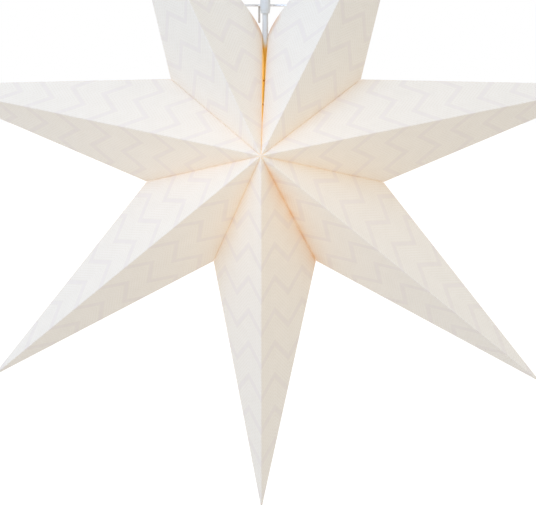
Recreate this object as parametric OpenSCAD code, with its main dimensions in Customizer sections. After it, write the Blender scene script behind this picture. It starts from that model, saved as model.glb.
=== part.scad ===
// Folded paper advent star that hangs from a ceiling fitting by its lamp lead.
// Millimetres, +Z up, front towards -Y. The origin is the middle of the ceiling
// fitting's top face. Each point of the star is one folded and glued sheet.

/* [Star] */
// Distance from the star's centre to the end of each point
star_radius = 308; // [240:1:380]
// Distance from the star's centre to each inner corner between two points
valley_radius = 104.7; // [96:0.1:125]
// Height of the front and the back apex above the star's middle plane
half_depth = 80; // [66:1:100]
// Thickness of the paper
paper = 0.4; // [0.3:0.05:0.6]
// Thickness of the glue between two points
glue_line = 0.06; // [0.04:0.01:0.1]
// Width of the glue flaps along the valleys
flap_width = 12; // [8:0.5:15]
// Width of the tab that closes each sheet along its back ridge
tab_width = 9; // [6:0.5:12]
// Gap between the two end flaps at the top corner, where the seam stays open
seam_gap = 4.8; // [4:0.1:7]

/* [Zigzag bands] */
// Distance from one band to the next, along the ridge
band_pitch = 29.3; // [22:0.1:40]
// Distance across a panel from one corner of a band to the next
band_reach = 17.5; // [12:0.1:24]
// Width of a band
band_width = 3.8; // [2:0.1:6]
// Distance from the front apex to the first band's corner on the ridge
band_start = 12.7; // [4:0.1:25]
// Height of the band's printed coat above the paper
band_coat = 0.15; // [0.1:0.05:0.3]
// Bare edge between the bands and each fold
band_margin = 0.6; // [0.4:0.1:2]

/* [Seam pins] */
// Diameter of a pin's shank
pin_d = 1.6; // [1.2:0.1:2.4]
// Diameter of a pin's head
pin_head_d = 4.6; // [3.6:0.1:6]
// Thickness of a pin's head
pin_head_t = 0.8; // [0.5:0.1:1.5]
// Distance from the edge of the flap to a pin
pin_inset = 5; // [4:0.5:6]
// Distance from the apex to the lower pin, along the valley
pin_low = 59; // [50:1:66]
// Distance from the apex to the upper pin, along the valley
pin_high = 85; // [78:1:92]
// Clearance of a pin in its hole and under its heads
pin_clear = 0.2; // [0.1:0.05:0.4]

/* [Wire hanger] */
// Diameter of the steel wire
wire_d = 2; // [1.5:0.1:2.5]
// Height of the wire above the top corner between the two upper points
wire_rise = 25.4; // [23:0.1:32]
// Distance from the middle to each bent end, inside a point
wire_reach = 38; // [34:1:44]
// Length of each bent end
wire_hook = 12; // [8:1:16]
// Radius of each bend, to the middle of the wire
wire_bend = 4; // [3:0.5:6]
// Radial clearance of the wire in its holes
wire_clear = 0.3; // [0.2:0.1:0.6]
// Diameter of the wire leg behind the hanger
leg_d = 1.8; // [1.4:0.1:2]
// Length of the leg below the hanger
leg_drop = 14.5; // [10:0.5:17]

/* [Lead] */
// Diameter of the round lamp lead
cord_d = 5; // [4.6:0.1:5.4]
// Clearance of the lead in the holes that it runs through
cord_clear = 0.1; // [0.05:0.05:0.2]
// Largest diameter of the grip sleeve on the lead
sleeve_d = 8.8; // [8:0.1:10]
// Height of the sleeve's lower end above the top corner
sleeve_rise = 18.3; // [14:0.1:20]
// Length of the sleeve
sleeve_len = 38; // [30:1:48]
// Length of the sleeve's tapered lower end
sleeve_taper = 4; // [3:0.5:8]

/* [Lampholder and bulb] */
// Outer diameter of the lampholder
holder_d = 28; // [26:0.5:30]
// Wall of the lampholder
holder_wall = 1.6; // [1.2:0.1:2]
// Height of the lampholder's lower edge above the star's centre
holder_low = 12; // [8:1:14]
// Length of the lampholder's skirt
skirt_len = 32; // [30:1:36]
// Length of the lampholder's cap below its domed top
cap_len = 12; // [10:1:14]
// Height of the cap's domed top
dome_h = 10; // [8:0.5:12]
// Length of the cap's neck, which grips the lead
neck_len = 10; // [8:1:12]
// Diameter of the neck
neck_d = 11; // [10:0.5:13]
// Number of grip ribs round the cap
rib_count = 24; // [12:2:30]
// Height of the contact insert
insert_h = 14; // [12:1:16]
// Diameter of the bulb's metal base
bulb_base_d = 13.8; // [13.4:0.1:14]
// Diameter of the bulb's glass
bulb_d = 45; // [40:1:48]
// Radial clearance between the pieces of the lampholder
holder_clear = 0.2; // [0.15:0.05:0.4]

/* [Ceiling fitting] */
// Distance from the ceiling to the star's centre
star_drop = 340; // [336:1:420]
// Outer diameter of the ceiling cup
cup_d = 72; // [68:1:80]
// Depth of the ceiling cup
cup_h = 34; // [32:1:40]
// Wall of the ceiling cup
cup_wall = 2; // [1.5:0.1:2.5]
// Radius of the cup's lower edge
cup_round = 9; // [6:0.5:12]
// Thickness of the ceiling plate
plate_t = 2; // [1.5:0.1:3]
// Distance between the plate's two screw holes
screw_pitch = 44; // [40:1:50]
// Diameter of the screw holes
screw_hole_d = 4.5; // [4:0.1:5]
// Diameter of the bush where the lead enters the cup
bush_d = 10; // [9:0.5:12]
// Length of the bush below the cup
bush_nose = 10; // [8:1:12]
// Height of the terminal block under the plate
block_h = 14; // [12:1:16]
// Gap between the ceiling fitting's pieces
fitting_clear = 0.2; // [0.15:0.05:0.3]

/* [Hidden] */
$fn = 48;
// A cut runs past the surface by this much
eps = 1;
point_count = 7;
half_wedge = 180 / point_count;
// The end points' outer flaps stand back from the seam by this angle
seam_turn = asin(seam_gap / 2 / valley_radius);
// Each point stands off the centre, so that the glue fits between the flaps
glue_shift = glue_line / 2 / sin(half_wedge);

apex = [0, -half_depth, 0];
tip = [0, 0, star_radius];
ridge = norm(tip - apex);
// The flap's plane in two dimensions: x runs to the back, y away from the centre
apex_2d = [-half_depth, 0];
corner_2d = [0, valley_radius];
valley = norm(corner_2d - apex_2d);
along_valley = (corner_2d - apex_2d) / valley;
off_valley = [along_valley[1], -along_valley[0]];
// How far the flap's slanted ends run along the valley
flap_start = 4;
flap_slant_low = flap_width;
flap_slant_high = 1.6 * flap_width;
flap_end = 2;
// The closing tab stands this far off the outline of its panel
tab_inset = 3;
// A flap stands this far behind the cut edge of its panels
flap_back = 0.05;

bore_r = cord_d / 2 + cord_clear;
// The notch for the lead in the top corner, and how far it reaches below and above the corner
notch_clear = 6 * cord_clear;
notch_low = 3 * cord_d;
sleeve_r = sleeve_d / 2;
// The wire and the sleeve keep their places above the top corner
wire_z = valley_radius + wire_rise;
sleeve_low = valley_radius + sleeve_rise;
// The lug behind the sleeve holds the wire
lug_y = sleeve_r + wire_d / 2;
lug_r = wire_d / 2 + 1.8;
lug_len = 5;
// The leg stands beside the sleeve, close behind the wire, with its top just below the wire's
leg_x = -(sleeve_r + wire_clear + leg_d / 2);
leg_y = lug_y + (wire_d + leg_d + wire_clear) / 2;
leg_top = 0.4 * wire_d;
hole_r = wire_d / 2 + wire_clear;
// The wire runs straight behind the sleeve to here, then forward to the points' folds
wire_back = sleeve_r + leg_d + 2 * wire_clear;
wire_front = wire_reach / 2;

skirt_top = holder_low + skirt_len;
holder_r = holder_d / 2;
inside_r = holder_r - holder_wall;
insert_low = skirt_top - insert_h / 2;
insert_top = insert_low + insert_h;
shelf_t = 2;
base_r = bulb_base_d / 2;
socket_depth = 8;
base_top = insert_low + socket_depth - 0.3;
bulb_r = bulb_d / 2;
bulb_neck_z = holder_low + 1;
// The globe's middle lies where its glass meets the neck
bulb_z = bulb_neck_z - sqrt(pow(bulb_r, 2) - pow(base_r, 2));
cord_low = insert_top + fitting_clear;
block_low = -plate_t - block_h;
cord_high = star_drop + block_low - fitting_clear;
block_size = [20, 16];

// The lead's route, in the star's own frame: straight up, held taut
cord_heights = [cord_low, 80, 100, 120, 140, 160, 180, 200, 220, 240, 260, 280, 300, cord_high];
cord_points = [for (z = cord_heights) [0, 0, z]];
// Sides of the lead's and the wire's round section
tube_sides = 12;

function unit(v) = v / norm(v);
// The inner corner of a point whose side flap stands at angle h from its axis
function corner(h) = valley_radius * [sin(h), 0, cos(h)];
// Outward normal of the front right panel
function panel_normal(h) = unit(cross(apex - tip, corner(h) - tip));
// How far the inside of the folded sheet lies behind its outside
function inner_shift(hl, hr) =
    let (
        r = panel_normal(hr),
        l = panel_normal(hl),
        spread = r[0] * l[2] + l[0] * r[2]
    )
    paper / spread * [r[2] - l[2], 0, -r[0] - l[0]];
// Places sheet coordinates on the front right panel: x up the ridge, y away from it
function panel_place(h) =
    let (
        u = unit(tip - apex),
        n = -panel_normal(h),
        v = cross(n, u)
    )
    [
        [u[0], v[0], n[0], apex[0]],
        [u[1], v[1], n[1], apex[1]],
        [u[2], v[2], n[2], apex[2]],
        [0, 0, 0, 1]
    ];
// The panel's triangle in sheet coordinates
function panel_2d(h) =
    let (
        w = corner(h) - apex,
        u = w * unit(tip - apex)
    )
    [[0, 0], [ridge, 0], [u, sqrt(w * w - u * u)]];
// A triangle's outline moved inwards by m
function inset(t, m) =
    let (
        a = norm(t[1] - t[2]),
        b = norm(t[2] - t[0]),
        c = norm(t[0] - t[1]),
        middle = (a * t[0] + b * t[1] + c * t[2]) / (a + b + c),
        area = abs(cross(t[1] - t[0], t[2] - t[0])) / 2,
        keep = 1 - m * (a + b + c) / 2 / area
    )
    [for (p = t) middle + (p - middle) * keep];

// The solid that a point's four panels enclose, up to its two flap planes
module point_block(hl, hr) {
    left = [-corner(hl)[0], 0, corner(hl)[2]];
    polyhedron(
        points = [tip, apex, -apex, left, corner(hr)],
        faces = [[0, 4, 1], [0, 1, 3], [0, 2, 4], [0, 3, 2], [1, 4, 2], [1, 2, 3]]
    );
}

// The two glue flaps on one side of a point, along the front and the back valley
module flaps() {
    // The flap's edge lies within the paper of the fold
    low = apex_2d + along_valley * flap_start + off_valley * paper / 2;
    high = corner_2d - along_valley * flap_end + off_valley * paper / 2;
    outline = [
        low,
        high,
        high - along_valley * flap_slant_high + off_valley * flap_width,
        low + along_valley * flap_slant_low + off_valley * flap_width
    ];
    translate([flap_back, 0, 0]) rotate([90, 0, 90]) linear_extrude(paper) {
        polygon(outline);
        mirror([1, 0, 0]) polygon(outline);
    }
}

// One zigzag band in sheet coordinates, with its corner on the ridge at u
module band(u, reach) {
    half = band_width * sqrt(2) / 2;
    steps = ceil(reach / band_reach);
    function side(shift) = [for (i = [0 : steps]) [u + shift - (i % 2) * band_reach, i * band_reach]];
    line = side(half);
    back = side(-half);
    polygon(concat(line, [for (i = [steps : -1 : 0]) back[i]]));
}

// All the bands of one panel, as a thin printed coat on the paper
module bands(h) {
    t = panel_2d(h);
    multmatrix(panel_place(h)) translate([0, 0, -band_coat]) linear_extrude(band_coat + paper / 2)
        intersection() {
            polygon(inset(t, band_margin));
            union() {
                for (u = [band_start : band_pitch : ridge + band_reach]) band(u, t[2][1]);
            }
        }
}

// The tab that closes the sheet, glued inside along the back ridge
module closing_tab(h) {
    start = inset(panel_2d(h), tab_inset)[0][0];
    slant = 2 * tab_width;
    fold = 2.5 * paper;
    mirror([0, 1, 0]) multmatrix(panel_place(h)) translate([0, 0, paper / 2]) linear_extrude(1.5 * paper)
        polygon([
            [start + tab_width, fold],
            [start + slant, tab_width],
            [ridge - 5 * slant, tab_width],
            [ridge - slant, fold]
        ]);
}

// One point of the star, as one folded sheet with its axis along +Z
module folded_point(hl, hr) {
    translate([0, 0, glue_shift]) {
        difference() {
            point_block(hl, hr);
            translate(inner_shift(hl, hr)) point_block(hl, hr);
        }
        rotate([0, -hl, 0]) flaps();
        mirror([1, 0, 0]) rotate([0, -hr, 0]) flaps();
        closing_tab(hr);
        for (back = [0, 1]) mirror([0, back, 0]) {
            bands(hr);
            mirror([1, 0, 0]) bands(hl);
        }
    }
}

// The seam pins' places, measured in the star's frame
function pin_place(s) = apex_2d + along_valley * s + off_valley * pin_inset;

// Runs the children at each of the four pins, with the pin along X
module at_pins() {
    for (s = [pin_low, pin_high], back = [0, 1])
        mirror([0, back, 0]) translate([0, pin_place(s)[0], pin_place(s)[1]]) rotate([0, 90, 0]) children();
}

// The holes that the pins, the wire and the lead need in the two end points
module end_cuts() {
    at_pins() cylinder(h = 4 * seam_gap, r = pin_d / 2 + pin_clear, center = true);
    translate([0, 0, wire_z]) rotate([0, 90, 0]) cylinder(h = 2 * wire_reach, r = hole_r, center = true);
    translate([0, 0, valley_radius - notch_low]) cylinder(h = 2 * notch_low, r = cord_d / 2 + notch_clear);
}

module star_point(index) {
    hl = index == 1 ? half_wedge - seam_turn : half_wedge;
    hr = index == point_count ? half_wedge - seam_turn : half_wedge;
    color("ivory") translate([0, 0, -star_drop]) {
        if (index == 1 || index == point_count) {
            difference() {
                rotate([0, half_wedge * (2 * index - 1), 0]) folded_point(hl, hr);
                end_cuts();
            }
        } else {
            rotate([0, half_wedge * (2 * index - 1), 0]) folded_point(hl, hr);
        }
    }
}

// Paper fasteners that hold the open seam together, two in front and two behind
module seam_pins() {
    module half_pin(s) {
        // The head lies on the inside of the flap, which leans by seam_turn
        seat = pin_place(s)[1] * tan(seam_turn) + paper + flap_back + glue_shift + 2 * pin_clear;
        cylinder(h = seat + pin_head_t / 2, r = pin_d / 2);
        translate([0, 0, seat]) cylinder(h = pin_head_t, r = pin_head_d / 2);
    }
    color("darkgoldenrod") translate([0, 0, -star_drop])
        for (s = [pin_low, pin_high], back = [0, 1], side = [0, 1])
            mirror([side, 0, 0]) mirror([0, back, 0]) translate([0, pin_place(s)[0], pin_place(s)[1]])
                rotate([0, 90, 0]) half_pin(s);
}

// Steel wire that runs behind the sleeve and hooks into both upper points
module hanger_wire() {
    turn = wire_reach - wire_bend;
    right = concat(
        [[wire_back, lug_y, 0], [wire_front, 0, 0]],
        [for (a = [0 : 15 : 90]) [turn + wire_bend * sin(a), 0, wire_bend * (1 - cos(a))]],
        [[wire_reach, 0, wire_hook]]
    );
    left = [for (i = [len(right) - 1 : -1 : 0]) [-right[i][0], right[i][1], right[i][2]]];
    color("silver") translate([0, 0, wire_z - star_drop])
        tube(concat(left, right), wire_d / 2, tube_sides);
}

// Thin wire leg that is soldered behind the hanger, beside the sleeve
module hanger_leg() {
    color("gray") translate([leg_x, leg_y, wire_z - star_drop - leg_drop]) {
        cylinder(h = leg_drop + leg_top, r = leg_d / 2);
        sphere(r = leg_d / 2);
    }
}

// Moulded sleeve that grips the lead, with a lug behind it for the wire
module cord_sleeve() {
    lip = 1.1;
    top = sleeve_low + sleeve_len;
    color("whitesmoke") translate([0, 0, -star_drop]) difference() {
        union() {
            rotate_extrude() polygon([
                [0, sleeve_low],
                [bore_r + lip, sleeve_low],
                [sleeve_r, sleeve_low + sleeve_taper],
                [sleeve_r, top - 2],
                [sleeve_r - lip, top],
                [0, top]
            ]);
            translate([0, lug_y, wire_z]) rotate([0, 90, 0])
                cylinder(h = lug_len, r = lug_r, center = true);
        }
        translate([0, 0, sleeve_low - eps]) cylinder(h = sleeve_len + 2 * eps, r = bore_r);
        translate([0, lug_y, wire_z]) rotate([0, 90, 0])
            cylinder(h = lug_len + 2 * eps, r = wire_d / 2 + wire_clear / 2, center = true);
    }
}

// Sweeps a ring of sides points along a route, which may run any way but along Y
module tube(points, r, sides) {
    rings = len(points);
    function step(i) = i < 0 || i > rings - 2 ? [0, 0, 0] : unit(points[i + 1] - points[i]);
    ring_points = [
        for (i = [0 : rings - 1])
            let (
                along = unit(step(i - 1) + step(i)),
                a = unit(cross([0, 1, 0], along)),
                b = cross(along, a)
            )
            for (k = [0 : sides - 1])
                points[i] + r * (cos(360 * k / sides) * a + sin(360 * k / sides) * b)
    ];
    walls = [
        for (i = [0 : rings - 2], k = [0 : sides - 1], half = [0, 1])
            let (a = i * sides, b = a + sides, m = (k + 1) % sides)
            half == 0 ? [a + k, b + k, b + m] : [a + k, b + m, a + m]
    ];
    bottom = [for (k = [0 : sides - 1]) k];
    top = [for (k = [sides - 1 : -1 : 0]) (rings - 1) * sides + k];
    polyhedron(points = ring_points, faces = concat(walls, [bottom, top]));
}

module cord() {
    color("white") translate([0, 0, -star_drop]) tube(cord_points, cord_d / 2, tube_sides);
}

// Cap of the lampholder, with grip ribs, a dome and a neck for the lead
module lampholder_cap() {
    shoulder = skirt_top + cap_len;
    color("white") translate([0, 0, -star_drop]) difference() {
        union() {
            rotate_extrude() difference() {
                union() {
                    translate([0, skirt_top]) square([holder_r, cap_len]);
                    intersection() {
                        translate([0, shoulder]) scale([holder_r / dome_h, 1]) circle(r = dome_h);
                        translate([0, shoulder]) square([holder_r, dome_h]);
                    }
                    translate([0, shoulder]) square([neck_d / 2, dome_h + neck_len]);
                }
                translate([0, skirt_top - eps]) square([inside_r, cap_len + eps]);
            }
            for (i = [0 : rib_count - 1]) rotate([0, 0, 360 * i / rib_count])
                translate([holder_r - 0.4, -0.5, skirt_top + 1]) cube([1, 1, cap_len - 2]);
        }
        translate([0, 0, skirt_top]) cylinder(h = cap_len + dome_h + neck_len + eps, r = bore_r);
    }
}

// Skirt of the lampholder, with the shelf that carries the contact insert
module lampholder_skirt() {
    color("white") translate([0, 0, -star_drop]) rotate_extrude() difference() {
        translate([0, holder_low]) square([holder_r, skirt_len]);
        translate([0, holder_low - eps]) square([inside_r, insert_low - shelf_t - holder_low + eps]);
        translate([0, insert_low - shelf_t - eps]) square([base_r + 1.5, shelf_t + 2 * eps]);
        translate([0, insert_low]) square([inside_r, skirt_top - insert_low + eps]);
    }
}

// Insert with the contacts and the socket for the bulb's base
module contact_insert() {
    color("gainsboro") translate([0, 0, -star_drop]) difference() {
        translate([0, 0, insert_low]) cylinder(h = insert_h, r = inside_r - holder_clear);
        translate([0, 0, insert_low - eps]) cylinder(h = socket_depth + eps, r = base_r + holder_clear);
    }
}

// Small round bulb on its metal base
module bulb() {
    neck_r = base_r + 2;
    neck_low = bulb_z + sqrt(pow(bulb_r, 2) - pow(neck_r, 2));
    color("lightyellow") translate([0, 0, -star_drop]) {
        translate([0, 0, bulb_z]) sphere(r = bulb_r);
        translate([0, 0, neck_low - eps]) cylinder(h = eps, r = neck_r);
        translate([0, 0, neck_low]) cylinder(h = bulb_neck_z - neck_low + eps, r1 = neck_r, r2 = base_r);
        translate([0, 0, bulb_z]) cylinder(h = base_top - bulb_z, r = base_r);
    }
}

// Steel plate screwed to the ceiling
module ceiling_plate() {
    color("lightgray") difference() {
        translate([0, 0, -plate_t]) cylinder(h = plate_t, r = cup_d / 2 - cup_wall - fitting_clear);
        for (x = [-1, 1]) translate([x * screw_pitch / 2, 0, -plate_t - eps])
            cylinder(h = plate_t + 2 * eps, r = screw_hole_d / 2);
    }
}

// Terminal block under the plate, where the lead ends
module terminal_block() {
    hole = 3.2;
    color("white") translate([0, 0, block_low]) difference() {
        translate([-block_size[0] / 2, -block_size[1] / 2, 0])
            cube([block_size[0], block_size[1], block_h]);
        for (x = [-1, 1]) translate([x * block_size[0] / 4, -block_size[1] / 2 - eps, block_h / 2])
            rotate([-90, 0, 0]) cylinder(h = block_size[1] / 2, r = hole / 2);
    }
}

// Cup that covers the plate and the block
module ceiling_cup() {
    r = cup_d / 2;
    color("white") rotate_extrude() difference() {
        cup_profile(r, cup_h, cup_round);
        translate([0, eps]) cup_profile(r - cup_wall, cup_h - cup_wall + eps, cup_round - cup_wall);
        translate([0, -cup_h - eps]) square([bush_d / 2 + fitting_clear, cup_wall + 2 * eps]);
    }
}

// Half section of a cup with a rounded lower edge, open at y = 0
module cup_profile(r, h, round) {
    difference() {
        translate([0, -h]) square([r, h]);
        translate([r - round, -h - eps]) square([round + eps, round + eps]);
    }
    translate([r - round, -h + round]) circle(r = round);
}

// Bush that grips the lead in the bottom of the cup
module cup_bush() {
    flange_r = bush_d / 2 + 2.5;
    flange_t = 2;
    low = -cup_h - bush_nose;
    inner = -cup_h + cup_wall + fitting_clear;
    color("white") rotate_extrude() polygon([
        [bore_r, low],
        [bore_r + 1.2, low],
        [bush_d / 2, low + bush_nose / 2],
        [bush_d / 2, inner],
        [flange_r, inner],
        [flange_r, inner + flange_t],
        [bore_r, inner + flange_t]
    ]);
}

star_point(1);  // point_1
star_point(2);  // point_2
star_point(3);  // point_3
star_point(4);  // point_4
star_point(5);  // point_5
star_point(6);  // point_6
star_point(7);  // point_7
seam_pins();
hanger_wire();
hanger_leg();
cord_sleeve();
cord();
lampholder_cap();
lampholder_skirt();
contact_insert();
bulb();
ceiling_plate();
terminal_block();
ceiling_cup();
cup_bush();
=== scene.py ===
import math
import random

import bmesh
import bpy
from mathutils import Matrix, Vector, noise


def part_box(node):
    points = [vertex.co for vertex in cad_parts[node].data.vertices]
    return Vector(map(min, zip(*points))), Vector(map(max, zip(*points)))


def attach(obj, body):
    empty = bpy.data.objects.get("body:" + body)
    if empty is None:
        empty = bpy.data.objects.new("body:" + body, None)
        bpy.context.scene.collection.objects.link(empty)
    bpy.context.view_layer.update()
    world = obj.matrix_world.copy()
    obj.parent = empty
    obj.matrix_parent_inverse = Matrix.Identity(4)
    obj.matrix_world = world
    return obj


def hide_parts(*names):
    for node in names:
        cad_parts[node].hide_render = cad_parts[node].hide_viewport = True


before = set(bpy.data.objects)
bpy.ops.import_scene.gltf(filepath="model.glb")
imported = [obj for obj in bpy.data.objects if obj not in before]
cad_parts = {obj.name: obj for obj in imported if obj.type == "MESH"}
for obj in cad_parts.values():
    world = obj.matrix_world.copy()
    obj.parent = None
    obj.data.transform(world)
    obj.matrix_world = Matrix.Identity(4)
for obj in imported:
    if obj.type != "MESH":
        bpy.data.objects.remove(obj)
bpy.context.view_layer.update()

bl_info = {
    "name": "Paper Advent Star",
    "version": (1, 0, 0),
    "blender": (4, 5, 0),
    "location": "View3D > Sidebar > Advent Star",
    "description": "Folds and prints the star's paper points and finishes its lead, lampholder and ceiling cup",
    "category": "Object",
}

# Lengths are in metres, and the star hangs below the ceiling fitting at z = 0
MM = 0.001
POINT_COUNT = 7
HALF_WEDGE = math.pi / POINT_COUNT

# The star's own sizes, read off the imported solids
STAR_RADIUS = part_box("point_2")[1].x / math.sin(3 * HALF_WEDGE)
STAR_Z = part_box("point_4")[0].z + STAR_RADIUS
VALLEY_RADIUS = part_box("point_4")[1].x / math.sin(HALF_WEDGE)
HALF_DEPTH = -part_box("point_4")[0].y
SEAM_GAP = 4.8 * MM
SEAM_TURN = math.asin(SEAM_GAP / 2 / VALLEY_RADIUS)
BULB_LOW, BULB_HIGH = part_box("bulb")
BULB_RADIUS = (BULB_HIGH.x - BULB_LOW.x) / 2
BULB_CENTRE = Vector((0, 0, BULB_LOW.z + BULB_RADIUS))

# The lead's route, straight up from the contact insert to the terminal block
LEAD_HEIGHTS = [51.2, 80, 100, 120, 140, 160, 180, 200, 220, 240, 260, 280, 300, 323.8]
STAR_DROP = 340
LEAD_ROUTE = [Vector((0, 0, (height - STAR_DROP) * MM)) for height in LEAD_HEIGHTS]

# Numbers for each point run clockwise from the upper right.
# How strongly painted lamplight and shade lie along the valley after each point
VALLEY_LAMPLIGHT_AND_SHADE = [0.25, 0.22, 1.0, 0.3, 0.25, 0.15, 0.5]
# How far each tip leans clockwise, as the points sag, and how much longer it is, in mm
TIP_SHIFTS = [(2, 0), (8.7, 5), (5.4, 5), (3.4, 4), (-3.1, 2), (-8, 2), (0, 0)]
# How far the corner after each point lies from its even place, to the right and up, in mm
CORNER_SHIFTS = [(2.0, 0.4), (1.8, -1.1), (-0.9, 0.9), (0, 0.4), (-2.2, -0.8), (-1.1, 0.8), (0, 0)]

# Half the open seam's gap where it is shut, and how much wider it gets over the height that it takes to open
SHUT_HALF, WIDER_HALF, OPENING_HEIGHT = 0.05 * MM, 2.0 * MM, 66 * MM
# Half the gap between the flaps behind the seam
FLAP_HALF = 0.35 * MM
# Heights above the star's centre: where the card keeps clear of the lead, where the flaps part again round
# it, and where the lamplight on it ends
LEAD_CLEARED = 60 * MM
FLAPS_CLOSED, FLAPS_APART = 82 * MM, 92 * MM
LEAD_LIT, LEAD_UNLIT = 91 * MM, 98 * MM
# How far the lamplight on the seam's lip reaches in from the edge, at full strength and in all
LIP_FULL, LIP_END = 1.5 * MM, 5 * MM
# How far from the valley fold a panel reaches its full curve, and the lengths of the card's soft waves
BELLY_REACH = 30 * MM
WAVE_ALONG, WAVE_ACROSS = 55 * MM, 40 * MM
# Where the soft lamp stands from the star's centre: to the left, in front and above, in metres
LAMP_OFFSET = Vector((-1.4, -2.0, 1.75))


def hex_linear(code):
    """Turns an sRGB hex colour into linear red, green and blue."""
    values = [int(code[i:i + 2], 16) / 255 for i in (1, 3, 5)]
    return [v / 12.92 if v <= 0.04045 else ((v + 0.055) / 1.055) ** 2.4 for v in values]


def colour_property(name, description, code):
    """A colour for a property group, with a default in sRGB hex."""
    return bpy.props.FloatVectorProperty(
        name=name, description=description, default=hex_linear(code), size=3, min=0, max=1, subtype="COLOR"
    )


def length_property(name, description, default):
    """A length for a property group, in metres."""
    return bpy.props.FloatProperty(name=name, description=description, default=default, precision=5, unit="LENGTH")


def share_property(name, description, default, highest=1.0):
    """A plain number for a property group."""
    return bpy.props.FloatProperty(name=name, description=description, default=default, min=0, max=highest)


class STAR_PG_card(bpy.types.PropertyGroup):
    """Sizes of the folded card points."""

    star_radius: length_property("Star radius", "From the star's centre to the end of each point", STAR_RADIUS)
    valley_radius: length_property("Valley radius", "From the centre to the corners between points", VALLEY_RADIUS)
    half_depth: length_property("Half depth", "From the middle plane to the front apex", HALF_DEPTH)
    thickness: length_property("Card", "Thickness of the card", 0.4 * MM)
    flap_width: length_property("Flap width", "Width of the glue flaps along the valleys", 12 * MM)
    tab_width: length_property("Tab width", "Width of the tab that closes each point at the back", 9 * MM)
    bow: length_property("Bow", "How far a panel curves between its folds", 1.0 * MM)
    crumple: length_property("Crumple", "Depth of the soft waves in the card", 0.3 * MM)
    fold: length_property("Fold", "Width of the rounded edge on each side of a fold", 0.7 * MM)
    seam_shut: length_property("Shut seam", "Height above the centre up to which the open seam is shut", 28 * MM)
    bulge: length_property("Bulge", "How far the two end panels spread into the open seam", 5.5 * MM)


class STAR_PG_print(bpy.types.PropertyGroup):
    """The zigzag print, its colours and the light that comes through the card."""

    band_pitch: length_property("Band pitch", "From one band to the next, along the ridge", 29.3 * MM)
    band_reach: length_property("Band reach", "Across a panel from one corner of a band to the next", 17.5 * MM)
    band_width: length_property("Band width", "Width of a band", 3.8 * MM)
    band_start: length_property("First band", "From the apex to the first band's corner", 12.7 * MM)
    hatch_lines: bpy.props.IntProperty(
        name="Hatch lines", description="Fine lines from one band to the next", default=9, min=3, max=15
    )
    dash_pitch: length_property("Dash pitch", "From one dash of a hatch line to the next", 2.2 * MM)
    card_colour: colour_property("Card colour", "The bare printed side of the card", "#E7E4DC")
    hatch_colour: colour_property("Hatch colour", "The fine lines between the bands", "#E2DED4")
    band_colour: colour_property("Band colour", "The bold zigzag bands", "#E3DED8")
    # The bare card, tinted warm with painted lamplight
    lamp_warmed_inside_colour: colour_property("Inside colour", "The unprinted side of the card", "#E8D2AC")
    through_colour: colour_property("Through colour", "Lamplight after it has passed the card", "#FFCB80")
    lit_lead_colour: colour_property("Lit lead", "Tint of the lead inside the star", "#D8A050")
    inside_glow: colour_property("Inside glow", "Lamplight on the inside of the card", "#836927")
    # Painted lamplight and shade along the valleys, multiplied into the card's colour
    valley_light_shade_colour: colour_property("Stain colour", "Card that the lamplight stains along the valleys", "#F1B680")
    through: share_property("Through", "Lamplight that comes through the whole card", 0.035)
    centre: share_property("Centre", "Lamplight through the card at 100 mm from the bulb", 0.11)


class STAR_PG_fittings(bpy.types.PropertyGroup):
    """Sizes and colours of the lead, its fittings and the bulb."""

    lead_diameter: length_property("Lead diameter", "Diameter of the round lead", 5 * MM)
    thread_pitch: length_property("Thread pitch", "Pitch of the bulb's screw thread", 2.8 * MM)
    lead_colour: colour_property("Lead colour", "Sheath of the lead", "#D9DAD8")
    moulding_colour: colour_property("Moulding colour", "Cup, lampholder and sleeve", "#DDDFE2")
    insert_colour: colour_property("Insert colour", "Pressed insert in the lampholder", "#D9D4CA")
    pin_colour: colour_property("Pin colour", "Brass fasteners in the seam", "#B98440")
    wire_colour: colour_property("Wire colour", "Drawn steel wire", "#E2E2E4")
    # The leg's wire, darkened with painted shade where it hangs behind the bar
    shaded_leg_colour: colour_property("Leg colour", "Dull leg of the hanger", "#CFCAC4")
    plate_colour: colour_property("Plate colour", "Zinc plated ceiling plate", "#B9BBBD")
    base_colour: colour_property("Base colour", "Nickel plated base of the bulb", "#BFB9AC")
    bulb_colour: colour_property("Bulb colour", "Light of the frosted bulb", "#FFD79A")


class STAR_PG_stage(bpy.types.PropertyGroup):
    """The camera, the floor and the lamps."""

    camera_distance: length_property("Camera distance", "From the camera to the star's centre", 5.0)
    camera_turn: bpy.props.FloatProperty(
        name="Camera turn", description="How far the camera stands to the right", default=math.radians(2.6),
        subtype="ANGLE"
    )
    camera_rise: bpy.props.FloatProperty(
        name="Camera rise", description="How far the camera stands above the star's centre",
        default=math.radians(1.0), subtype="ANGLE"
    )
    frame_width: length_property("Frame width", "Width of the picture at the star", 0.46866)
    floor_drop: length_property("Floor drop", "From the ceiling to the floor", 0.8)
    world_level: share_property("World level", "Brightness of the light from all round", 0.87, 2.0)
    key_power: bpy.props.FloatProperty(
        name="Key power", description="Power of the soft lamp at the upper left", default=31.5, min=0, unit="POWER"
    )
    key_colour: colour_property("Key colour", "Colour of the soft lamp", "#A5CCFF")
    floor_colour: colour_property("Floor colour", "Pale floor", "#E8E6E3")


def add_node(tree, kind, settings=None, inputs=None):
    """Adds a node, sets its properties, and sets or links its inputs by name or number."""
    node = tree.nodes.new(kind)
    for name, value in (settings or {}).items():
        setattr(node, name, value)
    for key, value in (inputs or {}).items():
        if isinstance(value, bpy.types.NodeSocket):
            tree.links.new(value, node.inputs[key])
        else:
            node.inputs[key].default_value = value
    return node


def new_material(name):
    """An empty node material with its surface output."""
    material = bpy.data.materials.new(name)
    material.use_nodes = True
    tree = material.node_tree
    tree.nodes.clear()
    return material, tree, add_node(tree, "ShaderNodeOutputMaterial")


def rgba(colour):
    """A colour with full opacity."""
    return (*colour, 1.0)


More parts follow.
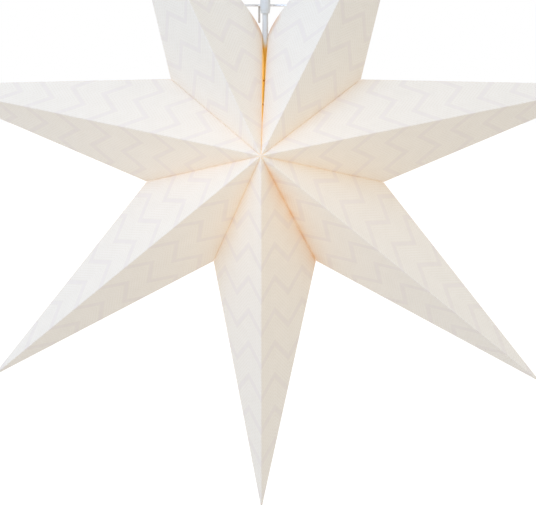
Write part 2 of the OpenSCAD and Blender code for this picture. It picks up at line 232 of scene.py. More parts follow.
def number(tree, operation, *inputs, **settings):
    """Adds a Math node and returns its result."""
    settings["operation"] = operation
    return add_node(tree, "ShaderNodeMath", settings, dict(enumerate(inputs))).outputs[0]


def ranged(tree, value, low, high, to_low, to_high, smooth=False):
    """Maps a value from one range to another, in a straight line or smoothly."""
    settings = {"interpolation_type": "SMOOTHSTEP"} if smooth else None
    inputs = {0: value, 1: low, 2: high, 3: to_low, 4: to_high}
    return add_node(tree, "ShaderNodeMapRange", settings, inputs).outputs[0]


def scaled(tree, colour, level):
    """A colour times a number."""
    settings = {"operation": "SCALE"}
    return add_node(tree, "ShaderNodeVectorMath", settings, {0: colour, "Scale": level}).outputs[0]


def cloud(tree, place, size, **inputs):
    """Noise with patches of a given size."""
    return add_node(tree, "ShaderNodeTexNoise", None, {"Vector": place, "Scale": 1 / size, **inputs}).outputs[0]


def mixed(tree, share, first, second, blend="MIX"):
    """Blends two colours."""
    settings = {"data_type": "RGBA", "blend_type": blend}
    return add_node(tree, "ShaderNodeMix", settings, {0: share, 6: first, 7: second}).outputs[2]


def bumped(tree, strength, depth, height):
    """The surface direction with a fine relief on it."""
    return add_node(
        tree, "ShaderNodeBump", None, {"Strength": strength, "Distance": depth, "Height": height}
    ).outputs[0]


def bulb_light(tree):
    """Returns how far up a spot lies as seen from the bulb, from -1 to 1, and the bulb's distance."""
    place = add_node(tree, "ShaderNodeTexCoord").outputs["Object"]
    away = add_node(tree, "ShaderNodeVectorMath", {"operation": "SUBTRACT"}, {0: place, 1: BULB_CENTRE}).outputs[0]
    distance = add_node(tree, "ShaderNodeVectorMath", {"operation": "LENGTH"}, {0: away}).outputs["Value"]
    height = add_node(tree, "ShaderNodeSeparateXYZ", None, {0: away}).outputs["Z"]
    return number(tree, "DIVIDE", height, distance), distance


def falloff(tree, distance, reach, power):
    """(reach / distance) to a power."""
    return number(tree, "POWER", number(tree, "DIVIDE", reach, distance), power)


def fade_out(tree, distance, reach, start):
    """A value with its start at no distance, which dies away over the reach."""
    share = number(tree, "EXPONENT", number(tree, "MULTIPLY", distance, -1 / reach))
    return number(tree, "MULTIPLY", share, start)


def zigzag_print(tree, sheet, sheet_print):
    """Returns where the bold bands lie and where the fine dashes between them lie."""
    zigzag = number(tree, "PINGPONG", sheet.outputs["Y"], sheet_print.band_reach)
    phase = number(tree, "ADD", sheet.outputs["X"], zigzag)
    phase = number(tree, "SUBTRACT", phase, sheet_print.band_start)
    # Distances are along the ridge, so a band is wider there, and its printed edge is soft
    half_band = sheet_print.band_width * math.sqrt(2) / 2
    soft = 0.35 * MM
    to_band = number(tree, "PINGPONG", phase, sheet_print.band_pitch / 2)
    band = ranged(tree, to_band, half_band - soft, half_band + soft, 1.0, 0.0, smooth=True)
    # The hatch lines are rows of short dashes, drawn coarser than the real print
    hatch_pitch = sheet_print.band_pitch / sheet_print.hatch_lines
    to_line = number(tree, "PINGPONG", phase, hatch_pitch / 2)
    line = ranged(tree, to_line, hatch_pitch * 0.12, hatch_pitch * 0.34, 1.0, 0.0, smooth=True)
    half_dash = sheet_print.dash_pitch / 2
    dash = number(tree, "PINGPONG", sheet.outputs["Y"], half_dash)
    dash = ranged(tree, dash, 0.0, half_dash, 0.1, 1.1)
    return band, number(tree, "MULTIPLY", line, dash)


def painted_valley_light_shade(tree, sheet, place):
    """How much painted lamplight and shade lie along the valleys: a thin line of painted shade and lamplight in the
    fold and a wide soft margin of painted lamplight, in uneven patches.
    """
    weight = add_node(tree, "ShaderNodeAttribute", {"attribute_name": "valley_light_shade"}).outputs["Fac"]
    lip = add_node(tree, "ShaderNodeAttribute", {"attribute_name": "lip"}).outputs["Fac"]
    line = fade_out(tree, sheet.outputs["Z"], reach=0.7 * MM, start=0.4)
    margin = fade_out(tree, sheet.outputs["Z"], reach=7.5 * MM, start=0.45)
    patches = ranged(tree, cloud(tree, place, 12 * MM, Detail=1.0), 0.3, 0.7, 0.75, 1.25)
    margin = number(tree, "MULTIPLY", number(tree, "ADD", line, margin), patches)
    return number(tree, "MULTIPLY_ADD", margin, weight, lip, use_clamp=True)


def printed_card(sheet_print):
    """Uncoated white card, screen printed: matt, with mauve zigzags and a warm glow of lamplight."""
    material, tree, output = new_material("screen_printed_card")
    sheet = add_node(tree, "ShaderNodeAttribute", {"attribute_name": "sheet"}).outputs["Vector"]
    sheet = add_node(tree, "ShaderNodeSeparateXYZ", None, {0: sheet})
    place = add_node(tree, "ShaderNodeTexCoord").outputs["Object"]
    band, line = zigzag_print(tree, sheet, sheet_print)
    colour = mixed(tree, line, rgba(sheet_print.card_colour), rgba(sheet_print.hatch_colour))
    colour = mixed(tree, band, colour, rgba(sheet_print.band_colour))
    # Cloudy pulp, 9 mm across, as the light through a sheet of card shows it
    pulp = ranged(tree, cloud(tree, place, 9 * MM, Detail=4.0, Roughness=0.6), 0.3, 0.7, 0.985, 1.015)
    colour = scaled(tree, colour, pulp)
    # Painted lamplight and shade along the valleys, multiplied into the card's colour
    valley_light_shade = painted_valley_light_shade(tree, sheet, place)
    colour = mixed(tree, valley_light_shade, colour, rgba(sheet_print.valley_light_shade_colour), blend="MULTIPLY")
    # Lamplight through the card; the lampholder above the bulb shades the upper points
    upward, distance = bulb_light(tree)
    near = falloff(tree, distance, reach=100 * MM, power=0.75)
    level = number(tree, "MULTIPLY_ADD", near, sheet_print.centre, sheet_print.through)
    level = number(tree, "MULTIPLY", level, ranged(tree, upward, 0.2, 1.0, 1.0, 0.6, smooth=True))
    # It is a little weaker behind the printed bands
    level = number(tree, "MULTIPLY", level, ranged(tree, band, 0.0, 1.0, 1.0, 0.9))
    glow = scaled(tree, sheet_print.through_colour, level)
    fibres = cloud(tree, place, 1.2 * MM, Detail=3.0)
    bump = bumped(tree, 0.35, 0.08 * MM, number(tree, "MULTIPLY_ADD", fibres, 0.3, band))
    card = add_node(tree, "ShaderNodeBsdfPrincipled", None, {
        "Base Color": colour, "Roughness": 0.82, "IOR": 1.45, "Normal": bump,
        "Emission Color": glow, "Emission Strength": 1.0,
    })
    tree.links.new(card.outputs[0], output.inputs[0])
    return material


def inside_card(sheet_print):
    """Bare side of the card, round the bulb: matt, and warm from the lamplight that lies on it."""
    material, tree, output = new_material("bare_card_inside")
    distance = bulb_light(tree)[1]
    near = falloff(tree, distance, reach=85 * MM, power=1.2)
    place = add_node(tree, "ShaderNodeTexCoord").outputs["Object"]
    pulp = ranged(tree, cloud(tree, place, 6 * MM, Detail=4.0), 0.3, 0.7, 0.94, 1.06)
    level = number(tree, "MINIMUM", number(tree, "MULTIPLY", near, pulp), 1.1)
    glow = scaled(tree, sheet_print.inside_glow, level)
    # The bare card's colour holds a painted warm tint of lamplight
    colour = scaled(tree, sheet_print.lamp_warmed_inside_colour, pulp)
    card = add_node(tree, "ShaderNodeBsdfPrincipled", None, {
        "Base Color": colour, "Roughness": 0.85, "IOR": 1.45, "Emission Color": glow, "Emission Strength": 1.0,
    })
    tree.links.new(card.outputs[0], output.inputs[0])
    return material


def moulded_plastic(name, colour, grain, roughness, sheet_print=None):
    """Moulded plastic: smooth, with a soft gloss and a faint grain from the mould."""
    material, tree, output = new_material(name)
    place = add_node(tree, "ShaderNodeTexCoord").outputs["Object"]
    tone = ranged(tree, cloud(tree, place, 14 * MM), 0.0, 1.0, 0.97, 1.03)
    shade = scaled(tree, colour, tone)
    rough = ranged(tree, tone, 0.97, 1.03, roughness - 0.05, roughness + 0.05)
    bump = bumped(tree, 0.15, 0.05 * MM, cloud(tree, place, grain, Detail=2.0))
    plastic = add_node(tree, "ShaderNodeBsdfPrincipled", None, {
        "Base Color": shade, "Roughness": rough, "IOR": 1.5, "Normal": bump,
    })
    if sheet_print:
        # Inside the star the lamplight lies on it
        height = add_node(tree, "ShaderNodeSeparateXYZ", None, {0: place}).outputs["Z"]
        lit = ranged(tree, height, STAR_Z + LEAD_LIT, STAR_Z + LEAD_UNLIT, 1.0, 0.0, smooth=True)
        warm = mixed(tree, lit, shade, rgba(sheet_print.lit_lead_colour), blend="MULTIPLY")
        tree.links.new(warm, plastic.inputs["Base Color"])
        plastic.inputs["Emission Color"].default_value = rgba(sheet_print.inside_glow)
        tree.links.new(lit, plastic.inputs["Emission Strength"])
    tree.links.new(plastic.outputs[0], output.inputs[0])
    return material


def worked_metal(name, colour, stretch, roughness, grain=0.6 * MM):
    """Metal with fine marks drawn out along one direction, as from a die, a lathe or a plating bath."""
    material, tree, output = new_material(name)
    place = add_node(tree, "ShaderNodeTexCoord").outputs["Object"]
    place = add_node(tree, "ShaderNodeMapping", None, {"Vector": place, "Scale": stretch}).outputs[0]
    marks = cloud(tree, place, grain, Detail=4.0)
    shade = scaled(tree, colour, ranged(tree, marks, 0.3, 0.7, 0.88, 1.08))
    rough = ranged(tree, marks, 0.3, 0.7, roughness + 0.08, roughness - 0.08)
    bump = bumped(tree, 0.2, 0.03 * MM, marks)
    metal = add_node(tree, "ShaderNodeBsdfPrincipled", None, {
        "Base Color": shade, "Metallic": 1.0, "Roughness": rough, "Normal": bump,
    })
    tree.links.new(metal.outputs[0], output.inputs[0])
    return material


def frosted_glass(fittings):
    """Frosted glass of a lit bulb: an even warm light, which fades towards the base."""
    material, tree, output = new_material("frosted_bulb_glass")
    height = add_node(tree, "ShaderNodeTexCoord").outputs["Object"]
    height = add_node(tree, "ShaderNodeSeparateXYZ", None, {0: height}).outputs["Z"]
    level = ranged(tree, height, BULB_LOW.z, BULB_HIGH.z, 1.0, 0.6)
    glow = scaled(tree, fittings.bulb_colour, level)
    glass = add_node(tree, "ShaderNodeBsdfPrincipled", None, {
        "Base Color": rgba(fittings.bulb_colour), "Roughness": 0.35, "IOR": 1.5,
        "Emission Color": glow, "Emission Strength": 0.8,
    })
    tree.links.new(glass.outputs[0], output.inputs[0])
    return material


def seen_directly(tree):
    """1 for what the camera sees, straight or in gloss and glass, and 0 for other light."""
    path = add_node(tree, "ShaderNodeLightPath").outputs
    seen = number(tree, "MAXIMUM", path["Is Camera Ray"], path["Is Glossy Ray"])
    return number(tree, "MAXIMUM", seen, path["Is Transmission Ray"])


def pale_floor(stage):
    """Pale floor: white to the camera, with the star's soft shadow kept on it."""
    material, tree, output = new_material("pale_floor")
    lift = number(tree, "MULTIPLY", seen_directly(tree), 0.5)
    matt = add_node(tree, "ShaderNodeBsdfDiffuse", None, {"Color": rgba(stage.floor_colour)}).outputs[0]
    light = add_node(tree, "ShaderNodeEmission", None, {"Strength": lift}).outputs[0]
    both = add_node(tree, "ShaderNodeAddShader", None, {0: matt, 1: light}).outputs[0]
    tree.links.new(both, output.inputs[0])
    return material


def white_world(stage):
    """Even light from all round, seen as white by the camera and in gloss and glass."""
    world = bpy.data.worlds.new("studio")
    world.use_nodes = True
    tree = world.node_tree
    tree.nodes.clear()
    output = add_node(tree, "ShaderNodeOutputWorld")
    level = ranged(tree, seen_directly(tree), 0.0, 1.0, stage.world_level, 1.0)
    light = add_node(tree, "ShaderNodeBackground", None, {"Color": (1, 1, 1, 1), "Strength": level}).outputs[0]
    tree.links.new(light, output.inputs[0])
    return world


def add_object(name, data):
    """Links a new object to the scene."""
    piece = bpy.data.objects.new(name, data)
    bpy.context.scene.collection.objects.link(piece)
    return piece


def dress(node, material):
    """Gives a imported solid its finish."""
    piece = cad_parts[node]
    for slot in piece.material_slots:
        slot.material = material
    if not piece.material_slots:
        piece.data.materials.append(material)
    return piece


class Panel:
    """One of a point's four panels: the triangle of apex, inner corner and tip, in the point's own frame."""

    def __init__(self, card, side, face, half):
        self.card, self.side, self.face = card, side, face
        self.apex = Vector((0, face * card.half_depth, 0))
        self.tip = Vector((0, 0, card.star_radius))
        self.corner = card.valley_radius * Vector((side * math.sin(half), 0, math.cos(half)))
        self.edge = self.corner - self.apex
        along = (self.tip - self.apex).normalized()
        self.ridge = (self.tip - self.apex).length
        self.valley_u = self.edge.dot(along)
        across = self.edge - along * self.valley_u
        self.valley_v = across.length
        outward = along.cross(across).normalized()
        self.outward = outward if outward.y * face > 0 else -outward
        double_area = self.ridge * self.valley_v
        self.from_side = double_area / (self.corner - self.tip).length
        self.from_valley = double_area / self.edge.length
        wedge_out = Vector((side * math.cos(half), 0, -math.sin(half)))
        # Inward directions at the ridge, the side edge and the valley fold
        self.into_ridge = -Vector((0, self.outward.y, self.outward.z)).normalized()
        self.into_side = -Vector((self.outward.x, 0, self.outward.z)).normalized()
        self.into_valley = -(self.outward + wedge_out).normalized()
        # Across the flap, from the valley into the star
        along_valley = self.edge.normalized()
        self.into_flap = wedge_out.cross(along_valley)
        if self.into_flap.z * math.cos(half) + self.into_flap.x * side * math.sin(half) > 0:
            self.into_flap = -self.into_flap

    def rounded(self, distance, depth, taper=1.0):
        """How far a fold's rounded edge lies below the sharp one."""
        width = self.card.fold * taper
        if distance >= width or width <= 0:
            return 0.0
        return depth * self.card.fold * taper * (1 - distance / width) ** 2

    def place(self, s, t, seed):
        """The card at s across from the ridge and t along from the valley, and its sheet coordinates."""
        left = 1 - t
        flat = self.apex * left + self.tip * t + self.edge * (left * s)
        to_ridge = left * s * self.valley_v
        to_side = left * (1 - s) * self.from_side
        to_valley = t * self.from_valley
        # All folds meet in one sharp corner at the apex
        open_out = min(1.0, (flat - self.apex).length / (8 * self.card.fold))
        taper = min(open_out, left * self.valley_v / (4 * self.card.fold))
        flat += self.into_ridge * self.rounded(to_ridge, 0.47, taper)
        flat += self.into_side * self.rounded(to_side, 0.35, taper)
        flat += self.into_valley * self.rounded(to_valley, 0.2, open_out)
        u = self.ridge * t + self.valley_u * left * s
        v = self.valley_v * left * s
        start = min(1.0, to_valley / BELLY_REACH)
        belly = 4 * s * (1 - s) * start * (2 - start) * left ** 0.6
        wave = noise.noise(Vector((u / WAVE_ALONG, v / WAVE_ACROSS, seed)))
        flat += self.outward * belly * (self.card.bow * math.sin(seed) + self.card.crumple * wave)
        return flat, (u, v, to_valley)


def smooth_step(value, low, high):
    """0 below the low end and 1 above the high end, with an even bend between."""
    x = min(1.0, max(0.0, (value - low) / (high - low)))
    return x * x * (3 - 2 * x)


def flap_span(panel):
    """Where along the valley the glue flap starts and ends."""
    length = panel.edge.length
    return 4 * MM / length, 1 - 2 * MM / length


def panel_columns(panel, t):
    """Places across a panel, close together beside its two folds."""
    fold = panel.card.fold
    left = max(1 - t, 1e-6)
    near = [min(d * fold / (left * panel.valley_v), 0.03 * i) for i, d in enumerate((0, 0.4, 1))]
    far = [1 - min(d * fold / (left * panel.from_side), 0.03 * i) for i, d in enumerate((0, 0.4, 1))]
    start, end = flap_span(panel)
    start, end = max(start, near[-1] + 0.005), min(end, far[-1] - 0.005)
    count = 16
    middle = [start + (end - start) * i / count for i in range(count + 1)]
    return near + middle + far[::-1]


def panel_rows(panel):
    """Places along a panel, from the valley to just short of the tip."""
    fold = panel.card.fold / panel.from_valley
    count = 34
    return [0, 0.4 * fold, fold] + [fold + (1 - fold) * i / count for i in range(1, count)]


def add_panel(mesh, panel, layers, seed, valley_light_shade, at_seam, shape):
    """Adds a panel's grid of faces, which end in the one vertex of the tip."""
    sheet, weight, lip = layers

    def vertex(s, t):
        spot, flat = panel.place(s, t, seed)
        made = mesh.verts.new(shape(spot, s, t, None))
        made[sheet] = flat
        # Painted lamplight and shade along this valley, none near the ridge
        made[weight] = valley_light_shade * smooth_step(s, 0.02, 0.16)
        if at_seam:
            # Painted lamplight on the curled lip of the side edge, just above the open corner
            rise = smooth_step(t, 0, 0.02) * (1 - smooth_step(t, 0.08, 0.13))
            edge = (1 - t) * (1 - s) * panel.from_side
            made[lip] = 0.5 * rise * (1 - smooth_step(edge, LIP_FULL, LIP_END))
        return made

    rows = [[vertex(s, t) for s in panel_columns(panel, t)] for t in panel_rows(panel)]
    end = vertex(0, 1)
    forward = panel.side * panel.face < 0
    for low, high in zip(rows, rows[1:]):
        for i in range(len(low) - 1):
            ring = [low[i], low[i + 1], high[i + 1], high[i]]
            mesh.faces.new(ring if forward else ring[::-1])
    for i in range(len(rows[-1]) - 1):
        ring = [rows[-1][i], rows[-1][i + 1], end]
        mesh.faces.new(ring if forward else ring[::-1])


def add_flap(mesh, panel, layers, at_seam, shape):
    """Adds the glue flap that is folded in along the panel's valley, with slanted ends."""
    sheet, weight = layers[:2]
    card = panel.card
    length = panel.edge.length
    slant_low, slant_high = card.flap_width / length, 1.6 * card.flap_width / length
    start, end = flap_span(panel)
    rows = []
    for s in panel_columns(panel, 0)[3:-3]:
        full = card.flap_width * min(1.0, (s - start) / slant_low, (end - s) / slant_high)
        full = max(full, 0.05 * MM)
        row = []
        for depth in (0, 0.4 * card.fold, card.fold, 0.5 * card.flap_width, card.flap_width):
            width = depth / card.flap_width * full
            spot = panel.apex + panel.edge * s + panel.into_flap * width
            spot += panel.into_valley * panel.rounded(width, 0.2)
            made = mesh.verts.new(shape(spot, s, 0, width))
            made[sheet] = (panel.valley_u * s, panel.valley_v * s, 0)
            made[weight] = 0
            row.append(made)
        rows.append(row)
    forward = panel.side * panel.face < 0
    for low, high in zip(rows, rows[1:]):
        for i in range(len(low) - 1):
            ring = [low[i], low[i + 1], high[i + 1], high[i]]
            # In the open seam the lamplight lies on the flaps
            mesh.faces.new(ring if forward else ring[::-1]).material_index = 1 if at_seam else 0


def add_closing_tab(mesh, panel, layers, seed, shape):
    """Adds the tab that is glued inside along the back ridge."""
    sheet, weight = layers[:2]
    card = panel.card
    rows = []
    for i in range(25):
        u = panel.ridge * (0.06 + 0.86 * i / 24)
        ends = min(1.0, i / 2, (24 - i) / 4)
        row = []
        for j in range(3):
            v = 0.9 * MM + (card.tab_width * max(ends, 0.05) - 0.9 * MM) * j / 2
            v = max(v, 0.9 * MM)
            t = (u - panel.valley_u * v / panel.valley_v) / panel.ridge
            s = v / (panel.valley_v * (1 - t))
            spot, flat = panel.place(s, t, seed)
            spot -= panel.outward * 1.15 * card.thickness
            made = mesh.verts.new(shape(spot, s, t, None))
            made[sheet] = flat
            made[weight] = 0
            row.append(made)
        rows.append(row)
    forward = panel.side * panel.face > 0
    for low, high in zip(rows, rows[1:]):
        for i in range(len(low) - 1):
            ring = [low[i], low[i + 1], high[i + 1], high[i]]
            mesh.faces.new(ring[::-1] if forward else ring).material_index = 1


def seam_shape(card, lead_radius, sign):
    """Shapes the open seam's side of an end point, in the star's frame with the seam at x = 0."""
    stand_off = lead_radius + 0.15 * MM

    def shaped(spot, s, t, flap):
        spot = spot.copy()
        height = spot.z - STAR_Z
        # The slit narrows faster than the points do, and is shut short of the apex
        wedge = height * math.tan(SEAM_TURN)
        opened = max(0.0, (height - card.seam_shut) / OPENING_HEIGHT)
        open_half = SHUT_HALF + WIDER_HALF * opened ** 0.8
        shut = max(0.0, wedge - open_half) * (1 - smooth_step(t, 0, 0.25))
        spot.x -= sign * shut * s / (s + 1.5 * t + 1e-6)
        if flap is None:
            # The end panels spread towards each other above the corner
            rise = t / 0.2
            spread = card.bulge * rise * math.exp(1 - rise) * (1 - t) * smooth_step(s, 0.35, 1)
            spot.x -= sign * spread
        else:
            # The flaps lean together behind the fold, and part again round the lead
            apart = smooth_step(height, FLAPS_CLOSED, FLAPS_APART)
            closed = min(open_half, FLAP_HALF) + (stand_off - FLAP_HALF) * apart
            share = flap / card.flap_width
            spot.x = spot.x * (1 - share) + sign * closed * share
        if abs(spot.y) < stand_off and height > LEAD_CLEARED:
            clear = math.sqrt(stand_off ** 2 - spot.y ** 2)
            spot.x = sign * max(sign * spot.x, clear)
        return spot

    return shaped


def fold_point(index, card, lead_radius, rng):
    """The mesh of one point of the star: four panels, four glue flaps and the closing tab."""
    half_left = HALF_WEDGE - SEAM_TURN if index == 1 else HALF_WEDGE
    half_right = HALF_WEDGE - SEAM_TURN if index == POINT_COUNT else HALF_WEDGE
    turn = Matrix.Translation((0, 0, STAR_Z)) @ Matrix.Rotation(HALF_WEDGE * (2 * index - 1), 4, "Y")
    seam_side = {1: -1, POINT_COUNT: 1}.get(index, 0)
    seam_sign = 1 if index == 1 else -1
    at_seam = seam_shape(card, lead_radius, seam_sign)
    lean, longer = TIP_SHIFTS[index - 1]
    tip = Vector((lean, 0, longer)) * MM
    mesh = bmesh.new()
    layers = [mesh.verts.layers.float_vector.new("sheet")]
    layers += [mesh.verts.layers.float.new(name) for name in ("valley_light_shade", "lip")]
    for side, half in ((-1, half_left), (1, half_right)):
        valley = index - 1 if side > 0 else index - 2
        corner_x, corner_z = CORNER_SHIFTS[valley]
        corner = Vector((corner_x, 0, corner_z)) * MM

        def shape(spot, s, t, flap, side=side, corner=corner):
            spot = turn @ (spot + tip * t) + corner * s * (1 - t)
            return at_seam(spot, s, t, flap) if side == seam_side else spot

        for face in (-1, 1):
            panel = Panel(card, side, face, half)
            seed = rng.uniform(-3, 3)
            # Painted lamplight and shade along the valley, half as strong on the back panels
            valley_light_shade = VALLEY_LAMPLIGHT_AND_SHADE[valley] * (1.0 if face < 0 else 0.5)
            add_panel(mesh, panel, layers, seed, valley_light_shade, side == seam_side, shape)
            add_flap(mesh, panel, layers, side == seam_side, shape)
            if side > 0 and face > 0:
                add_closing_tab(mesh, panel, layers, seed, shape)
    bmesh.ops.remove_doubles(mesh, verts=mesh.verts, dist=0.02 * MM)
    bmesh.ops.dissolve_degenerate(mesh, edges=mesh.edges, dist=0.01 * MM)
    data = bpy.data.meshes.new(f"folded_point_{index}")
    mesh.to_mesh(data)
    mesh.free()
    return data


def settle_modifiers(piece):
    """Turns a piece's modifiers into its mesh."""
    graph = bpy.context.evaluated_depsgraph_get()
    data = bpy.data.meshes.new_from_object(piece.evaluated_get(graph), depsgraph=graph)
    piece.modifiers.clear()
    piece.data = data


def lathe(name, profile, segments=64):
    """A surface turned round the z axis from points of radius and height."""
    mesh = bmesh.new()
    rings = []
    for radius, height in profile:
        if radius < 1e-6:
            rings.append([mesh.verts.new((0, 0, height))])
            continue
        angles = [2 * math.pi * k / segments for k in range(segments)]
        rings.append([mesh.verts.new((radius * math.cos(a), radius * math.sin(a), height)) for a in angles])
    for low, high in zip(rings, rings[1:]):
        for k in range(segments):
            m = (k + 1) % segments
            ring = [low[k % len(low)], low[m % len(low)], high[m % len(high)], high[k % len(high)]]
            ring = [v for i, v in enumerate(ring) if v not in ring[:i]]
            mesh.faces.new(ring)
    bmesh.ops.recalc_face_normals(mesh, faces=mesh.faces)
    data = bpy.data.meshes.new(name)
    mesh.to_mesh(data)
    mesh.free()
    for face in data.polygons:
        face.use_smooth = True
    return data


class STAR_OT_stage(bpy.types.Operator):
    """Sets up the camera, the pale floor, the even light and the soft lamp"""

    bl_idname = "star.stage"
    bl_label = "Stage"

    def execute(self, context):
        stage = context.scene.star_stage
        centre = Vector((0, 0, STAR_Z))
        across = math.cos(stage.camera_rise)
        back = Vector((
            math.sin(stage.camera_turn) * across, -math.cos(stage.camera_turn) * across, math.sin(stage.camera_rise)
        ))
        right = Vector((0, 0, 1)).cross(back).normalized()
        up = back.cross(right)
        # The star's centre lies this far left of the picture's middle and above it
        aim = centre + right * 2.4 * MM - up * 85.9 * MM
        camera = bpy.data.objects.new("camera", bpy.data.cameras.new("camera"))
        camera.location = centre + back * stage.camera_distance
        camera.rotation_euler = (camera.location - aim).to_track_quat("Z", "Y").to_euler()
        camera.data.sensor_width = 36
        camera.data.lens = camera.data.sensor_width * stage.camera_distance / stage.frame_width
        camera.data.clip_end = 100
        context.scene.collection.objects.link(camera)
        context.scene.camera = camera
        context.scene.view_settings.view_transform = "Standard"
        context.scene.world = white_world(stage)

        reach = 40
        floor_mesh = bpy.data.meshes.new("floor")
        corners = [(-reach, -reach, 0), (reach, -reach, 0), (reach, reach, 0), (-reach, reach, 0)]
        floor_mesh.from_pydata(corners, [], [(0, 1, 2, 3)])
        floor = add_object("floor", floor_mesh)
        floor.location.z = -stage.floor_drop
        floor_mesh.materials.append(pale_floor(stage))

        lamp = bpy.data.lights.new("soft_lamp", "AREA")
        lamp.shape = "DISK"
        lamp.size = 1.6
        lamp.energy = stage.key_power
        lamp.color = stage.key_colour
        key = bpy.data.objects.new("soft_lamp", lamp)
        key.location = centre + LAMP_OFFSET
        key.rotation_euler = (key.location - centre).to_track_quat("Z", "Y").to_euler()
        key.visible_camera = False
        context.scene.collection.objects.link(key)
        return {"FINISHED"}


class STAR_OT_lead(bpy.types.Operator):
    """Runs the round lead from the lampholder up to the ceiling cup"""

    bl_idname = "star.lead"
    bl_label = "Lead"

    def execute(self, context):
        fittings = context.scene.star_fittings
        curve = bpy.data.curves.new("lamp_lead", "CURVE")
        curve.dimensions = "3D"
        curve.bevel_depth = fittings.lead_diameter / 2
        curve.bevel_resolution = 6
        curve.use_fill_caps = True
        spline = curve.splines.new("POLY")
        spline.points.add(len(LEAD_ROUTE) - 1)
        for point, place in zip(spline.points, LEAD_ROUTE):
            point.co = (*place, 1)
        lead = add_object("lamp_lead", curve)
        sheath = moulded_plastic(
            "lead_sheath_pvc", fittings.lead_colour, 0.8 * MM, 0.45, context.scene.star_print
        )
        curve.materials.append(sheath)
        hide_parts("cord")
        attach(lead, "root")
        return {"FINISHED"}


class STAR_OT_points(bpy.types.Operator):
    """Folds the seven printed card points and glues them into the star"""

    bl_idname = "star.points"
    bl_label = "Card points"

    def execute(self, context):
        card = context.scene.star_card
        sheet_print = context.scene.star_print
        outside, inside = printed_card(sheet_print), inside_card(sheet_print)
        lead_radius = context.scene.star_fittings.lead_diameter / 2
        rng = random.Random(11)
        for index in range(1, POINT_COUNT + 1):
            data = fold_point(index, card, lead_radius, rng)
            data.materials.append(outside)
            data.materials.append(inside)
            piece = add_object(f"folded_point_{index}", data)
            solid = piece.modifiers.new("card", "SOLIDIFY")
            solid.thickness = card.thickness
            solid.offset = -1
            solid.material_offset = 1
            solid.material_offset_rim = 1
            settle_modifiers(piece)
            for face in piece.data.polygons:
                face.use_smooth = True
            piece.data.set_sharp_from_angle(angle=math.radians(60))
            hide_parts(f"point_{index}")
            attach(piece, "root")
        return {"FINISHED"}


class STAR_OT_fasteners(bpy.types.Operator):
    """Finishes the brass fasteners in the open seam"""

    bl_idname = "star.fasteners"
    bl_label = "Seam fasteners"

    def execute(self, context):
        fittings = context.scene.star_fittings
        dress("seam_pins", worked_metal("stamped_brass", fittings.pin_colour, (1, 4, 4), 0.4))
        return {"FINISHED"}


class STAR_OT_hanger(bpy.types.Operator):
    """Finishes the wire hanger, its leg and the sleeve that holds it"""

    bl_idname = "star.hanger"
    bl_label = "Hanger"

    def execute(self, context):
        fittings = context.scene.star_fittings
        dress("hanger_wire", worked_metal("drawn_steel_wire", fittings.wire_colour, (0.1, 1, 1), 0.35))
        # The leg's darker colour is painted shade
        dress("hanger_leg", worked_metal("leg_wire_painted_shade", fittings.shaded_leg_colour, (1, 1, 0.1), 0.55))
        dress("cord_sleeve", moulded_plastic("sleeve_pvc", fittings.lead_colour, 0.8 * MM, 0.5))
        return {"FINISHED"}


class STAR_OT_lampholder(bpy.types.Operator):
    """Finishes the lampholder and makes the bulb with its threaded base"""

    bl_idname = "star.lampholder"
    bl_label = "Lampholder and bulb"

    def execute(self, context):
        fittings = context.scene.star_fittings
        plastic = moulded_plastic("lampholder_pbt", fittings.moulding_colour, 1.2 * MM, 0.4)
        for node in ("lampholder_cap", "lampholder_skirt"):
            dress(node, plastic)
        dress("contact_insert", moulded_plastic("pressed_resin", fittings.insert_colour, 0.5 * MM, 0.6))

        base_radius = 6.9 * MM
        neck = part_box("lampholder_skirt")[0].z + 1 * MM
        start = math.asin(min(1.0, (base_radius + 2 * MM) / BULB_RADIUS))
        globe = [
            (BULB_RADIUS * math.sin(a), BULB_CENTRE.z + BULB_RADIUS * math.cos(a))
            for a in [math.pi - (math.pi - start) * i / 40 for i in range(41)]
        ]
        glass = lathe("bulb_glass", globe + [(base_radius, neck)])
        glass.materials.append(frosted_glass(fittings))
        bulb = add_object("bulb_glass", glass)
        thread = [(base_radius - 0.1 * MM, neck)]
        count = 48
        for i in range(count + 1):
            height = neck + (BULB_HIGH.z - neck) * i / count
            turns = (height - neck) / fittings.thread_pitch
            thread.append((base_radius - 0.35 * MM + 0.35 * MM * math.sin(2 * math.pi * turns), height))
        cap = lathe("bulb_base", thread + [(0, BULB_HIGH.z)])
        cap.materials.append(worked_metal("nickel_plated_brass", fittings.base_colour, (1, 1, 3), 0.3))
        base = add_object("bulb_base", cap)
        for piece in (bulb, base):
            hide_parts("bulb")
            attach(piece, "root")
        return {"FINISHED"}


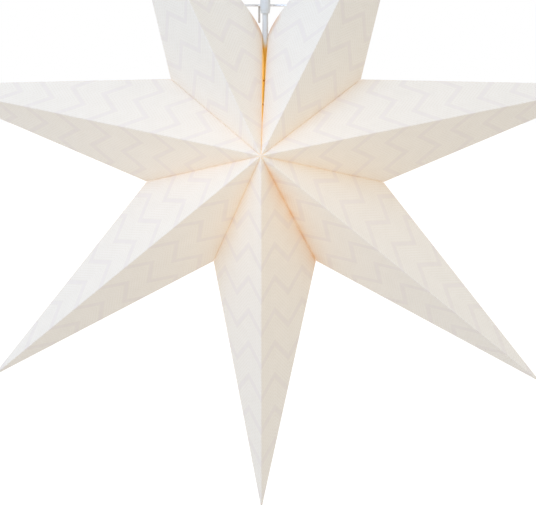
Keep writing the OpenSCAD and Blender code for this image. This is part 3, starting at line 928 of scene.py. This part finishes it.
class STAR_OT_ceiling(bpy.types.Operator):
    """Finishes the ceiling cup, its bush, the plate and the terminal block"""

    bl_idname = "star.ceiling"
    bl_label = "Ceiling fitting"

    def execute(self, context):
        fittings = context.scene.star_fittings
        cup = moulded_plastic("cup_abs", fittings.moulding_colour, 1.0 * MM, 0.35)
        for node in ("ceiling_cup", "cup_bush", "terminal_block"):
            dress(node, cup)
        dress("ceiling_plate", worked_metal("zinc_plated_steel", fittings.plate_colour, (1, 1, 1), 0.45, 5 * MM))
        return {"FINISHED"}


class STAR_PT_panel(bpy.types.Panel):
    """Lists the steps that make the star"""

    bl_idname = "STAR_PT_panel"
    bl_label = "Advent Star"
    bl_space_type = "VIEW_3D"
    bl_region_type = "UI"
    bl_category = "Advent Star"

    def draw(self, context):
        for operator in OPERATORS:
            self.layout.operator(operator.bl_idname)
        for group in GROUPS:
            box = self.layout.box()
            settings = getattr(context.scene, group)
            for name in settings.bl_rna.properties.keys():
                if name not in ("rna_type", "name"):
                    box.prop(settings, name)


OPERATORS = (
    STAR_OT_stage, STAR_OT_lead, STAR_OT_points, STAR_OT_fasteners, STAR_OT_hanger, STAR_OT_lampholder,
    STAR_OT_ceiling,
)
GROUPS = {
    "star_card": STAR_PG_card,
    "star_print": STAR_PG_print,
    "star_fittings": STAR_PG_fittings,
    "star_stage": STAR_PG_stage,
}


def register():
    for group, kind in GROUPS.items():
        bpy.utils.register_class(kind)
        setattr(bpy.types.Scene, group, bpy.props.PointerProperty(type=kind))
    for kind in (*OPERATORS, STAR_PT_panel):
        bpy.utils.register_class(kind)


def unregister():
    for kind in (STAR_PT_panel, *reversed(OPERATORS)):
        bpy.utils.unregister_class(kind)
    for group, kind in GROUPS.items():
        delattr(bpy.types.Scene, group)
        bpy.utils.unregister_class(kind)


def main():
    register()
    bpy.ops.star.stage()
    bpy.ops.star.lead()
    bpy.ops.star.points()
    bpy.ops.star.fasteners()
    bpy.ops.star.hanger()
    bpy.ops.star.lampholder()
    bpy.ops.star.ceiling()


if __name__ == "__main__":
    main()
